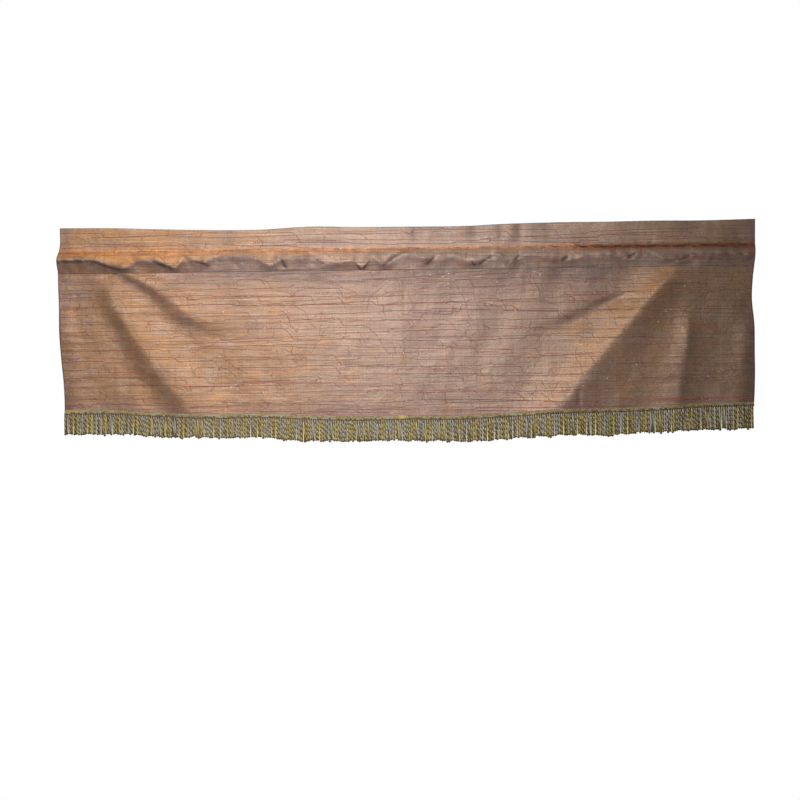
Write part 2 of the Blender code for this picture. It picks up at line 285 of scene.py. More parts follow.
# Threads laid on the cloth in wandering lanes
THREAD_SEED = 21
THREAD_WIDTH = 0.00082
THREAD_HEIGHT = 0.00030
THREAD_STEP = 0.0045  # between a thread's points
LANE_STEPS = (0.0050, 0.0120)  # the lanes come in pairs
LANE_WANDER = 0.0020
LANE_SLOPE = 0.035  # the steepest that a thread drifts
THREAD_END = 0.35  # a thread's thickness at its ends, against its middle
THREAD_LAID = 0.00012  # how far its base lies in front of the cloth
THREAD_BEHIND = 0.00045  # and on the back, how far behind the back ply
THREAD_INSET = 0.0006  # from the cloth's sides
SAME_PLACE = 0.00001  # points that are closer than this are one
STRAYS = 120
STRAY_STEP = 0.0035
TANGLES = 34

# What a thread does after each stretch, and how often
HABITS = {
    "step to lane": 0.28,
    "step down": 0.10,
    "step up": 0.08,
    "bump": 0.08,
    "stop": 0.26,
    "squiggle": 0.08,
    "run on": 0.12,
}

# Stitches along the seams and down the side hems, and spangles
STITCH_PITCH = 0.0040
STITCH_LENGTH = 0.0026
STITCH_WIDTH = 0.00045
STITCH_HEIGHT = 0.00035
HEM_STITCHES = (0.092, 0.345)  # how far down the hems' first and last stitch are
SPANGLE_CLUSTERS = 60
SPANGLE_OUT = 0.0007  # a spangle's rim, in front of the threads' base
SPANGLE_BACK = 0.0003  # and the middle of its back

# The fringe
BRAID_HEIGHT = 0.0095
BRAID_THICK = 0.0026
BRAID_COLUMNS = 2200
BRAID_ROWS = 13
BRAID_STITCH = 0.0023  # along the braid
RIM_STITCH = 0.0030
ROPES = 300
ROPE_SHARE = 0.73  # a strand's part of its pitch in the solids, which puts a rope's middle at half of it
PLY = 0.00120  # radius
CORE = 0.00232
PLY_OFFSET = 0.00170  # from the rope's middle to a ply's middle
PLY_SIDES = 5
PLY_POINTS = 32
PLY_SPREAD = 0.55  # the plies swing less sideways, because the ropes press on each other
TWIST = 0.0190  # length of one full turn
LOOSE_SHARE = 0.17  # of the ropes, hardly twisted
KNOB_SHARE = 0.45  # of the ropes, whose core shows as a dark knob at the tip
ROPE_OUT = 0.0029  # how far a rope's middle lies in front of the braid's back
ROPE_RISE = 0.0022  # how far up in front of the braid a rope starts
ROPE_SEED = 11

# Photograph's view: level with the valance's middle from far away, the picture turned a little
FRAME_WIDTH = 1.5744  # of the photograph, in the valance's plane
CAMERA_DISTANCE = 6.0
SENSOR = 36.0
PICTURE_TURN = 0.0129
VIEW_MIDDLE = (-0.0162, -0.3411)
WORLD_LIGHT = 0.09  # all round, where the camera itself sees white
FLOOR_HALF = 20.0
FLOOR_LEVEL = -1.35


def ease(share):
    """Smooth step from 0 to 1."""
    share = np.clip(share, 0.0, 1.0)
    return share * share * (3.0 - 2.0 * share)


def hump(distance, half):
    """Bell of height 1 with the given half width."""
    return np.exp(-((distance / half) ** 2))


def read(table, key, column, at):
    """One column of a table between its rows, on a smooth curve through them."""
    keys = np.array([getattr(row, key) for row in table])
    values = np.array([getattr(row, column) for row in table])
    places = np.arange(len(keys))
    before = np.maximum(places - 1, 0)
    after = np.minimum(places + 1, len(keys) - 1)
    slopes = (values[after] - values[before]) / (keys[after] - keys[before])
    at = np.clip(at, keys[0], keys[-1])
    low = np.clip(np.searchsorted(keys, at, side="right") - 1, 0, len(keys) - 2)
    span = keys[low + 1] - keys[low]
    share = (at - keys[low]) / span
    curl_in = share * (1.0 - share) ** 2
    curl_out = share**2 * (share - 1.0)
    rise = values[low + 1] - values[low]
    return values[low] + rise * ease(share) + span * (slopes[low] * curl_in + slopes[low + 1] * curl_out)


def fold_forward(fold, x, z):
    """How far one fold of the panel stands forward."""
    reach = (fold.top_z - z) / (fold.top_z - fold.low_z)
    bowed = fold.bow * 4.0 * np.maximum(reach * (1.0 - reach), 0.0)
    crest = fold.top_x + (fold.low_x - fold.top_x) * reach + bowed
    lean = math.atan2(fold.low_x - fold.top_x, fold.top_z - fold.low_z)
    across = (x - crest) * math.cos(lean)
    spread = FOLD_NARROW + (1.0 - FOLD_NARROW) * np.clip(reach, 0.0, 1.0)
    far = across / (spread * np.where(across < 0.0, fold.left, fold.right))
    roof = np.exp(CREST_FALL * (CREST_ROUND - np.sqrt(far**2 + CREST_ROUND**2)))
    shape = fold.narrow * roof + (1.0 - fold.narrow) * hump(far, 1.0)
    risen = ease(reach / fold.rise)
    not_faded = ease((fold.ends - reach) / FOLD_FADE)
    return fold.height * risen * not_faded * shape


def belly(x, z):
    """How far the panel stands forward just below the pocket."""
    below = np.maximum(-SEAM_LOW - z, 0.0)
    return BELLY * np.exp(-below / BELLY_DROP) * ease((x - BELLY_LEFT[0]) / (BELLY_LEFT[1] - BELLY_LEFT[0]))


def drape(x, z):
    """How far the hanging panel stands forward of the hanging plane."""
    return sum(fold_forward(fold, x, z) for fold in FOLDS) + belly(x, z)


def draw_waves(crumple):
    """Wave vectors, phases and depths of one kind of crumple."""
    dice = random.Random(CRUMPLE_SEED)
    waves = []
    for _ in range(crumple.waves):
        length = dice.uniform(crumple.short, crumple.long)
        angle = dice.uniform(0.0, math.pi)
        turns = math.tau / length
        depth = crumple.depth * length / crumple.short
        waves.append((turns * math.cos(angle), turns * math.sin(angle), dice.uniform(0.0, math.tau), depth))
    return waves


WAVES = draw_waves(CLOTH_CRUMPLE)
POCKET_WAVES = draw_waves(POCKET_CRUMPLE)


def creased(crease, x, z):
    """How far into a crease a place is, from 0 to 1."""
    run = np.array([crease.end_x - crease.x, crease.end_z - crease.z])
    length = float(np.hypot(*run))
    run /= length
    share = ((x - crease.x) * run[0] + (z - crease.z) * run[1]) / length
    across = (z - crease.z) * run[0] - (x - crease.x) * run[1]
    return ease(share / CREASE_FADE) * ease((1.0 - share) / CREASE_FADE) * hump(across, crease.half)


def relief(x, z):
    """How far the cloth's small creases and crumple go back from its smooth folds."""
    back = np.zeros(np.broadcast(x, z).shape)
    for crease in CREASES + POCKET_CREASES:
        back = back + crease.depth * creased(crease, x, z)
    for turns_x, turns_z, phase, depth in WAVES:
        back = back + depth * np.sin(turns_x * x + turns_z * z + phase)
    in_pocket = hump(z + HEADING + POCKET_MIDDLE * POCKET, POCKET_REACH * POCKET)
    for turns_x, turns_z, phase, depth in POCKET_WAVES:
        back = back + in_pocket * depth * np.sin(turns_x * x + turns_z * z + phase)
    return back


def side_edges(down):
    """World x of the cloth's left and right edge, so far down it."""
    left = -WIDTH / 2.0 + read(SIDES, "down", "left", down)
    right = WIDTH / 2.0 - read(SIDES, "down", "right", down)
    return left, right


def across_at(share, down):
    """World x of a place that is a share of the way across the cloth, so far down it."""
    left, right = side_edges(down)
    return left + (right - left) * share


def edge_z(x, column):
    """Level of the top edge, the braid's top or the fringe's tips at a world x.

    The edges' table is for a cloth with straight sides, so x is first moved to where it would be on one.
    """
    left, right = side_edges(EDGE_DOWN[column])
    return read(EDGES, "x", column, WIDTH * ((x - left) / (right - left) - 0.5))


def strip_z(x, down):
    """World z of a place on the strip: the heading's height grows and shrinks with its top edge."""
    above = np.maximum(0.0, 1.0 - down / HEADING)
    return -down + edge_z(x, "top") * above


def strip_down(x, z):
    """How far down from the top edge a place on the strip is."""
    top = edge_z(x, "top")
    in_heading = (top - z) / (1.0 + top / HEADING)
    return np.where(in_heading < HEADING, in_heading, -z)


def pocket_out(x, down):
    """How far the pocket's front ply stands out: a soft roof between its two seams."""
    crest = read(CRESTS, "x", "down", x)
    rising = np.clip((down - HEADING) / (crest - HEADING), 1e-4, None)
    falling = np.clip((SEAM_LOW - down) / (SEAM_LOW - crest), 1e-4, None)
    falling = falling * (0.55 + 0.45 * ease(falling))  # it comes down softly onto the lower seam
    mean = 2.0 / (rising**-ROOF_SHARPNESS + falling**-ROOF_SHARPNESS)
    return FULLNESS * mean ** (1.0 / ROOF_SHARPNESS)


def heading_wave(x, down):
    """How far the heading leans back at a place, most at its top edge."""
    above = np.clip(1.0 - down / HEADING, 0.0, 1.0)
    return sum(dip.depth * hump(x - dip.x, dip.half) for dip in DIPS) * ease(above / HEADING_RISE)


def strip_front(x, down):
    """World y of the strip's front face."""
    out = pocket_out(x, down)
    below = ease((down - HEADING) / POCKET)
    y = -FACE - out + heading_wave(x, down) - drape(x, -SEAM_LOW) * below**2
    full = np.clip(out / PUCKER_REACH, 0.0, 1.0)
    for pucker in PUCKERS:
        offset = x - pucker.x - pucker.slant * (HEADING + POCKET / 2.0 - down)
        y = y + pucker.depth * full * hump(offset, pucker.half)
    y = y + DITCH_DEPTH * hump(down - HEADING - DITCH_MIDDLE, DITCH_HALF)
    return y + (FACE - CLOTH) * ease((down - HEADING) / POCKET)


def strip_back(x, down):
    """World y of the strip's back face."""
    below = ease((down - HEADING) / POCKET)
    out = read(BACK_PLY, "down", "out", down)
    return FACE + out + heading_wave(x, down) - drape(x, -SEAM_LOW) * below**4


def front_y(x, z):
    """World y of the valance's front face at any place on its cloth."""
    on_strip = strip_front(x, np.clip(strip_down(x, z), 0.0, SEAM_LOW))
    y = np.where(z > -SEAM_LOW, on_strip, -drape(x, z))
    return y + relief(x, z)


def new_object(name, points, faces, material, smooth=True):
    """An object of that name from its points and faces, of one material."""
    data = bpy.data.meshes.new(name)
    data.from_pydata([tuple(point) for point in points], [], faces)
    data.materials.append(material)
    data.polygons.foreach_set("use_smooth", [smooth] * len(data.polygons))
    data.update()
    made = bpy.data.objects.new(name, data)
    bpy.context.scene.collection.objects.link(made)
    return made


def grid_faces(columns, rows):
    """Faces of a grid of points, listed column by column."""
    corner = (np.arange(columns - 1)[:, None] * rows + np.arange(rows - 1)[None, :]).reshape(-1)
    return np.stack([corner, corner + rows, corner + rows + 1, corner + 1], axis=1).tolist()


def tube_faces(start, rings, sides):
    """Faces and end caps of a closed tube whose points are listed ring by ring, the first at start."""
    faces = []
    last = start + (rings - 1) * sides
    for here in range(start, last, sides):
        for side in range(sides):
            beside = (side + 1) % sides
            faces.append((here + side, here + sides + side, here + sides + beside, here + beside))
    faces.append(tuple(range(start, start + sides)))
    faces.append(tuple(reversed(range(last, last + sides))))
    return faces


def thicken(made, group=None, thinnest=1.0, thickness=CLOTH):
    """Give a sheet its thickness behind its faces."""
    solid = made.modifiers.new("cloth", "SOLIDIFY")
    solid.thickness = thickness
    solid.offset = -1.0
    if group:
        solid.vertex_group = group
        solid.thickness_vertex_group = thinnest


def point_value(made, name, values):
    """A number at each point, for the material to read."""
    made.data.attributes.new(name, "FLOAT", "POINT").data.foreach_set("value", values.reshape(-1))


# Materials


class Graph:
    """A material's nodes, made and joined by short calls."""

    def __init__(self, name):
        self.material = bpy.data.materials.new(name)
        self.material.use_nodes = True
        self.tree = self.material.node_tree
        self.shader = self.tree.nodes["Principled BSDF"]

    def put(self, value, socket):
        """Set a socket to a number, place or colour, or join it to another socket."""
        if isinstance(value, bpy.types.NodeSocket):
            self.tree.links.new(value, socket)
        elif socket.type == "RGBA":
            socket.default_value = (*value, 1.0)
        else:
            socket.default_value = value

    def node(self, kind, output=0, inputs=(), **settings):
        """A node of a kind, with settings and inputs by number or name, as its output socket."""
        made = self.tree.nodes.new(kind)
        for setting, value in settings.items():
            setattr(made, setting, value)
        for where, value in dict(inputs).items():
            self.put(value, made.inputs[where])
        return made.outputs[output]

    def math(self, operation, first, second=0.5):
        """A number worked out from one or two others."""
        return self.node("ShaderNodeMath", inputs={0: first, 1: second}, operation=operation)

    def map(self, value, low, high, to_low, to_high):
        """A number moved from one range to another, softly, and kept inside it."""
        inputs = {"Value": value, "From Min": low, "From Max": high, "To Min": to_low, "To Max": to_high}
        return self.node("ShaderNodeMapRange", inputs=inputs, interpolation_type="SMOOTHSTEP")

    def mix(self, share, first, second, blend="MIX"):
        """Two colours mixed."""
        settings = {"data_type": "RGBA", "blend_type": blend}
        return self.node("ShaderNodeMix", 2, {0: share, 6: first, 7: second}, **settings)

    def tint(self, colour, tone, value, low, high, to_low, to_high):
        """A colour mixed with a tone, by a share that follows a number."""
        return self.mix(self.map(value, low, high, to_low, to_high), colour, tone)

    def painted(self, name):
        """The number that a mesh has at each point under a name."""
        return self.node("ShaderNodeAttribute", "Fac", attribute_name=name)

    def noise(self, stretch, detail=2.0, rough=0.5):
        """Noise in the object's own space, with so many cells a metre along X, Y and Z."""
        place = self.node("ShaderNodeTexCoord", "Object")
        place = self.node("ShaderNodeVectorMath", inputs={0: place, 1: stretch}, operation="MULTIPLY")
        inputs = {"Vector": place, "Scale": 1.0, "Detail": detail, "Roughness": rough}
        return self.node("ShaderNodeTexNoise", "Fac", inputs)

    def shade(self, **inputs):
        """Set the shader's own inputs, or join them to other sockets."""
        for name, value in inputs.items():
            self.put(value, self.shader.inputs[name.replace("_", " ").title().replace("Ior", "IOR")])

    def finish(self, colour, roughness, height, distance, **constants):
        """The material, with colour, roughness and relief joined to its shader."""
        bump = self.node("ShaderNodeBump", inputs={"Height": height, "Distance": distance, "Strength": 1.0})
        self.shade(base_color=colour, roughness=roughness, normal=bump, **constants)
        return self.material


BLACK = (0.0, 0.0, 0.0)
WHITE = (1.0, 1.0, 1.0)
COPPER = (0.48, 0.255, 0.120)
BRIGHT_COPPER = (0.74, 0.385, 0.165)
PALE_COPPER = (0.60, 0.390, 0.260)
DULL_COPPER = (0.36, 0.255, 0.205)
MAUVE = (0.24, 0.165, 0.145)
PALE_MAUVE = (0.36, 0.262, 0.228)
UMBER = (0.27, 0.165, 0.115)
# Painted shade at its darkest: deep creases and just below the pocket's crest
DEEP_SHADE = (0.085, 0.055, 0.045)
GOLDEN = (0.350, 0.200, 0.112)
# Brown toward the right: partly painted shade of the light falling off
BROWN = (0.35, 0.225, 0.142)
# Rosy flat tone: a painted sheen around the middle
ROSY = (0.38, 0.264, 0.215)
ROSY_MIDDLE = 0.06  # the x around which the flat cloth is rosy
DITCH_ORANGE = (0.98, 0.36, 0.13)
# Painted shade in the upper seam's hollow
DITCH_SHADE = (0.15, 0.05, 0.022)
HEM_PINK = (0.34, 0.19, 0.17)
GREY_ROSE = (0.40, 0.295, 0.240)
# Painted glints along streaks of the slub
GLINT = (0.62, 0.36, 0.18)
BRAID_OLIVE = (0.43, 0.350, 0.185)
BRAID_SHADE = (0.23, 0.175, 0.080)
BRAID_GREY = (0.43, 0.42, 0.30)
BRAID_GOLD = (0.72, 0.56, 0.15)
# Darker at the braid's top edge, and painted shade over its lower part
BRAID_RIM = (0.13, 0.115, 0.045)


def shot_tone(graph, across, tops, underside, turning, left_gold):
    """The taffeta's tones by which way it faces: copper where it faces up, mauve (umber at the left) where
    it faces down; partly its shot colour, partly painted light from above and painted shade below.
    """
    facing = graph.node("ShaderNodeSeparateXYZ", 2, {0: graph.node("ShaderNodeTexCoord", "Normal")})
    at_left = graph.map(across, -0.50, -0.36, 1.0, 0.0)
    at_right = graph.map(across, 0.22, 0.40, 0.0, 1.0)
    from_middle = graph.math("ABSOLUTE", graph.math("SUBTRACT", across, ROSY_MIDDLE))
    # Golden at the left, browner toward the right: partly painted shade of the light falling off
    flat = graph.tint(GOLDEN, BROWN, across, -0.1, 0.3, 0.0, 1.0)
    # Painted sheen: rosy around the middle
    flat = graph.tint(flat, ROSY, from_middle, 0.08, 0.46, 1.0, 0.0)
    flat = graph.mix(graph.math("MULTIPLY", at_left, left_gold), flat, COPPER)
    # Painted light: copper tones where the cloth faces up, partly its shot colour
    top = graph.tint(tops[1], tops[2], across, -0.26, -0.02, 0.0, 1.0)
    top = graph.mix(at_right, graph.mix(at_left, top, tops[0]), tops[3])
    # Painted shade: mauve and umber tones where the cloth faces down, partly its shot colour
    patch = graph.noise((26.0, 26.0, 34.0))
    underside = graph.tint(underside, MAUVE, patch, 0.38, 0.62, 0.0, 0.55)
    underside = graph.mix(at_left, underside, UMBER)
    colour = graph.tint(flat, underside, facing, turning - 0.50, turning, 1.0, 0.0)
    return graph.tint(colour, top, facing, 0.02, 0.50, 0.0, 1.0)


def cloth_material(name, tops, underside, turning, metallic, left_gold):
    """Shot taffeta, mottled, ribbed and slubbed, with its painted light, shades and glints, orange ditch
    and pink edges.
    """
    graph = Graph(name)
    place = graph.node("ShaderNodeTexCoord", "Object")
    across = graph.node("ShaderNodeSeparateXYZ", 0, {0: place})
    colour = shot_tone(graph, across, tops, underside, turning, left_gold)
    mottle = graph.noise((22.0, 22.0, 52.0), detail=4.0, rough=0.65)
    colour = graph.tint(colour, GREY_ROSE, mottle, 0.50, 0.62, 0.0, 0.48)
    colour = graph.tint(colour, COPPER, mottle, 0.32, 0.47, 0.42, 0.0)
    blotch = graph.noise((7.0, 7.0, 12.0), detail=3.0, rough=0.6)
    colour = graph.tint(colour, COPPER, blotch, 0.50, 0.75, 0.0, 0.20)
    colour = graph.tint(colour, MAUVE, blotch, 0.25, 0.50, 0.20, 0.0)

    # Painted shade from the numbers on the mesh: mauve, then darker still where they pass 1
    shaded = graph.painted("shaded")
    uneven = graph.math("MULTIPLY", shaded, graph.map(blotch, 0.30, 0.60, 1.20, 0.70))
    colour = graph.mix(graph.math("MINIMUM", uneven, 1.0), colour, MAUVE)
    colour = graph.tint(colour, DEEP_SHADE, shaded, 1.0, 2.0, 0.0, 1.0)
    # Painted shade: darker toward the right end
    colour = graph.tint(colour, BLACK, across, 0.50, 0.68, 0.0, 0.26)

    # The upper seam: orange, with painted shade in its hollow, most toward the right
    spots = graph.noise((85.0, 85.0, 260.0))
    bright = graph.map(spots, 0.40, 0.54, 0.45, 1.0)
    bright = graph.math("SUBTRACT", bright, graph.map(across, 0.22, 0.40, 0.0, 0.85))
    ditch_tone = graph.mix(graph.math("MAXIMUM", bright, 0.0), DITCH_SHADE, DITCH_ORANGE)
    colour = graph.mix(graph.math("MINIMUM", graph.painted("ditch"), 1.0), colour, ditch_tone)
    colour = graph.mix(graph.painted("turned"), colour, HEM_PINK)

    slub = graph.noise((5.0, 5.0, 520.0), detail=3.0, rough=0.65)
    upright = graph.noise((620.0, 5.0, 9.0), detail=1.0)
    speckle = graph.noise((560.0, 560.0, 760.0), detail=1.0)
    # Painted glints along some of the slub's streaks
    colour = graph.tint(colour, GLINT, slub, 0.60, 0.70, 0.0, 0.40)
    for tone in (
        graph.map(slub, 0.25, 0.75, 0.82, 1.15),
        graph.map(upright, 0.3, 0.7, 0.92, 1.07),
        graph.map(speckle, 0.3, 0.7, 0.82, 1.20),
    ):
        colour = graph.mix(1.0, colour, tone, "MULTIPLY")

    weave_z = graph.noise((60.0, 60.0, 2600.0), detail=0.0)
    weave_x = graph.noise((2600.0, 60.0, 60.0), detail=0.0)
    crinkle = graph.noise((80.0, 80.0, 105.0), detail=4.0, rough=0.6)
    height = slub
    for wave, share in ((weave_z, 0.35), (weave_x, 0.25), (crinkle, 4.2)):
        height = graph.math("ADD", height, graph.math("MULTIPLY", wave, share))
    roughness = graph.map(slub, 0.3, 0.7, 0.56, 0.46)
    return graph.finish(colour, roughness, height, 0.00030, metallic=metallic, specular_ior_level=0.5,
                        sheen_weight=0.10, sheen_roughness=0.4)


def thread_material(name, colour, light):
    """Embroidery thread with fibre along it and a lighter tone here and there."""
    graph = Graph(name)
    tone = graph.noise((90.0, 90.0, 90.0))
    mixed = graph.tint(colour, light, tone, 0.35, 0.7, 0.0, 1.0)
    fibre = graph.noise((900.0, 900.0, 900.0), detail=1.0)
    return graph.finish(mixed, 0.55, fibre, 0.0001, sheen_weight=0.2, specular_ior_level=0.4)


def yarn_material(name, colour, dark):
    """Twisted fringe yarn, its fibre lighter and darker along its length."""
    graph = Graph(name)
    tone = graph.noise((260.0, 260.0, 160.0), detail=3.0, rough=0.6)
    mixed = graph.tint(dark, colour, tone, 0.40, 0.62, 0.0, 1.0)
    fibre = graph.noise((1900.0, 1900.0, 700.0), detail=1.0)
    return graph.finish(mixed, 0.52, fibre, 0.00025, sheen_weight=0.35, sheen_roughness=0.5,
                        specular_ior_level=0.4)


def braid_material(name):
    """The woven header: olive, greyer here and there, golden in two places, darker at its top edge, and
    painted shade over its lower part.
    """
    graph = Graph(name)
    tone = graph.noise((330.0, 330.0, 330.0), detail=3.0, rough=0.6)
    colour = graph.tint(BRAID_SHADE, BRAID_OLIVE, tone, 0.40, 0.62, 0.0, 1.0)
    patch = graph.noise((22.0, 22.0, 60.0))
    colour = graph.tint(colour, BRAID_GREY, patch, 0.48, 0.62, 0.0, 0.65)
    colour = graph.mix(graph.math("MULTIPLY", graph.painted("golden"), 0.8), colour, BRAID_GOLD)
    rim = graph.math("MULTIPLY", graph.painted("rim"), graph.map(tone, 0.42, 0.58, 1.2, 0.5))
    colour = graph.mix(rim, colour, BRAID_RIM)
    fibre = graph.noise((1900.0, 1900.0, 1900.0), detail=1.0)
    return graph.finish(colour, 0.55, fibre, 0.00025, sheen_weight=0.35, sheen_roughness=0.5)


# The cloth


def rows_between(start, end, step):
    """Evenly spaced values from start to end, about a step apart."""
    return np.linspace(start, end, max(2, round(abs(end - start) / step) + 1))


def make_pocket_cloth(material):
    """The strip: up the back ply from its turned edge, over the top, and down the heading and pocket."""
    back = rows_between(SEAM_LOW + BACK_HEM, 0.0, 2.0 * STRIP_STEP)
    front = rows_between(0.0, SEAM_LOW, STRIP_STEP)
    over = np.linspace(0.0, math.pi, 7)[1:-1]
    share = np.linspace(0.0, 1.0, STRIP_COLUMNS + 1)[:, None]

    down = np.concatenate([back, np.zeros(len(over)), front])[None, :]
    x = across_at(share, down)
    z = strip_z(x, down)
    is_back = np.arange(down.shape[1])[None, :] < len(back)
    y = np.where(is_back, strip_back(x, down), strip_front(x, down) + relief(x, z))
    turn = slice(len(back), len(back) + len(over))
    y[:, turn] = heading_wave(x[:, turn], 0.0) + FACE * np.cos(over)
    z[:, turn] += FACE * np.sin(over)
    z -= FACE * hump(down, TOP_ROUND)

    points = np.stack([x, y, z], axis=2).reshape(-1, 3)
    made = new_object("pocket_cloth", points, grid_faces(STRIP_COLUMNS + 1, down.shape[1]), material)
    made.data.flip_normals()
    paint_pocket(made, share, x, z, down, 1.0 - is_back)
    thicken(made)
    return made


def paint_pocket(made, share, x, z, down, on_front):
    """Mark the strip's orange ditch, pink sides and mauve heading ends, and its painted light and painted
    shade in creases, dips and under the crest, for its material.
    """
    # The line along the upper seam: orange, with painted shade in its hollow toward the right
    on_right = ease((x - 0.22) / 0.16)
    wide = 0.0019 + 0.0042 * on_right
    middle = HEADING + 0.0018 + 0.0016 * on_right
    line = hump(down - middle, wide) * (0.40 + 0.60 * hump(x - 0.13, 0.16) + 0.60 * on_right)
    # Painted light on the pocket's upward-facing top, at the left, just below the seam
    painted_top_light = 0.32 * hump(down - HEADING - 0.0050, 0.0060) * ease((0.03 - x) / 0.20)
    sides = hump(np.minimum(share, 1.0 - share) * WIDTH - 0.010, 0.009)
    # Painted shade in the pocket's creases and in the heading's dips
    crease_shade = np.max([creased(crease, x, z) for crease in POCKET_CREASES], axis=0)
    dip_shade = sum(hump(x - dip.x, dip.half) for dip in DIPS if dip.depth > 0.0)
    dip_shade = np.minimum(dip_shade, 1.0) * ease(2.0 - 2.4 * down / HEADING)
    # Painted shade just below the crest, strongest at the left, and along the crest's rim
    below_crest = down - read(CRESTS, "x", "down", x)
    under = hump(below_crest - 0.0050, 0.0060) * (0.50 + 1.35 * ease((-0.46 - x) / 0.14))
    rim = 1.05 * hump(below_crest - 0.0022, 0.0036) * ease((x + 0.48) / 0.16)
    shaded = np.max([1.9 * crease_shade, under, rim], axis=0) + 0.75 * sides * (down < HEADING) + 0.50 * dip_shade
    point_value(made, "ditch", (line + painted_top_light) * on_front)
    point_value(made, "turned", np.broadcast_to(0.25 * sides, x.shape))
    point_value(made, "shaded", shaded * on_front)


def make_panel_cloth(material):
    """The hanging cloth below the pocket, its sides and lower edge turned to the back."""
    rows = round((-min(edge.braid for edge in EDGES) - SEAM_LOW) / PANEL_STEP)
    share = np.linspace(0.0, 1.0, PANEL_COLUMNS + 1)[:, None]
    depth = np.linspace(0.0, 1.0, rows)[None, :]
    x = across_at(share, SEAM_LOW + (EDGE_DOWN["braid"] - SEAM_LOW) * depth)
    low = edge_z(x, "braid") - BRAID_HEIGHT + CLEAR
    tucked = -SEAM_LOW + TUCK
    z = tucked + (low - tucked) * depth
    x = across_at(share, -z)
    y = -drape(x, z) + relief(x, z)
    points = np.stack([x, y, z], axis=2).reshape(-1, 3)
    made = new_object("panel_cloth", points, grid_faces(PANEL_COLUMNS + 1, rows), material)
    made.data.flip_normals()

    from_side = np.minimum(share, 1.0 - share) * WIDTH
    above_braid = z - edge_z(x, "braid")
    paint_panel(made, x, z, from_side, above_braid)
    group = made.vertex_groups.new(name="hem")
    turned = (np.broadcast_to(from_side, x.shape) < SIDE_HEM) | (above_braid < 0.0)
    group.add(np.flatnonzero(turned.reshape(-1)).tolist(), 1.0, "REPLACE")
    thicken(made, "hem", 0.5, 2.0 * CLOTH)
    return made


def paint_panel(made, x, z, from_side, above_braid):
    """Mark the panel's pink turned edges, its painted shade below the pocket, past the middle crease and in
    the side creases, and some darker patches, for its material.
    """
    pink = 0.25 * hump(from_side - 0.002, 0.007) + 0.45 * hump(above_braid, 0.014)
    pink = pink + 0.55 * hump(x - 0.335, 0.030) * hump(above_braid - 0.008, 0.012)
    # Painted shade below the pocket's lower seam, fading downward
    below_seam = np.maximum(-SEAM_LOW - z, 0.0)
    shaded = 1.25 * np.exp(-below_seam / 0.042) * ease((x + 0.58) / 0.24) * (1.0 - ease((x - 0.36) / 0.16))
    # Painted shade on the cloth right of the middle crease, which turns away
    past_crease_shade = np.where(x > -0.005, np.exp(-np.maximum(x + 0.005, 0.0) / 0.045), 0.0)
    shaded = shaded + 0.45 * past_crease_shade * hump(z + 0.200, 0.085)
    for patch in DARK_PATCHES:
        shaded = shaded + patch.strength * hump(x - patch.x, patch.half_x) * hump(z - patch.z, patch.half_z)
    # Painted shade in the creases near the sides
    crease_shade = np.max([creased(crease, x, z) for crease in CREASES], axis=0) * hump(from_side, 0.016)
    point_value(made, "ditch", np.zeros_like(x))
    point_value(made, "turned", np.clip(pink, 0.0, 1.0))
    point_value(made, "shaded", np.clip(shaded + 2.0 * crease_shade, 0.0, 1.8))


# Threads, stitches and glitter


def unit(vectors):
    """Vectors brought to length 1, one in each row."""
    return vectors / np.maximum(np.linalg.norm(vectors, axis=1), SAME_PLACE)[:, None]


def ribbon_tube(path, width, height, points, faces):
    """Add a three-sided closed tube that lies with its base on the cloth along a path."""
    gaps = np.linalg.norm(np.diff(path, axis=0), axis=1)
    path = path[np.append(gaps > SAME_PLACE, True)]
    ahead = unit(np.gradient(path, axis=0))
    aside = unit(np.cross(ahead, (0.0, -1.0, 0.0)))
    up = np.cross(aside, ahead)
    taper = np.ones((len(path), 1))
    taper[[0, -1]] = THREAD_END
    half = aside * taper * width / 2.0
    ring = np.stack([path - half, path + up * taper * height, path + half], axis=1)
    faces.extend(tube_faces(len(points), len(path), 3))
    points.extend(ring.reshape(-1, 3).tolist())


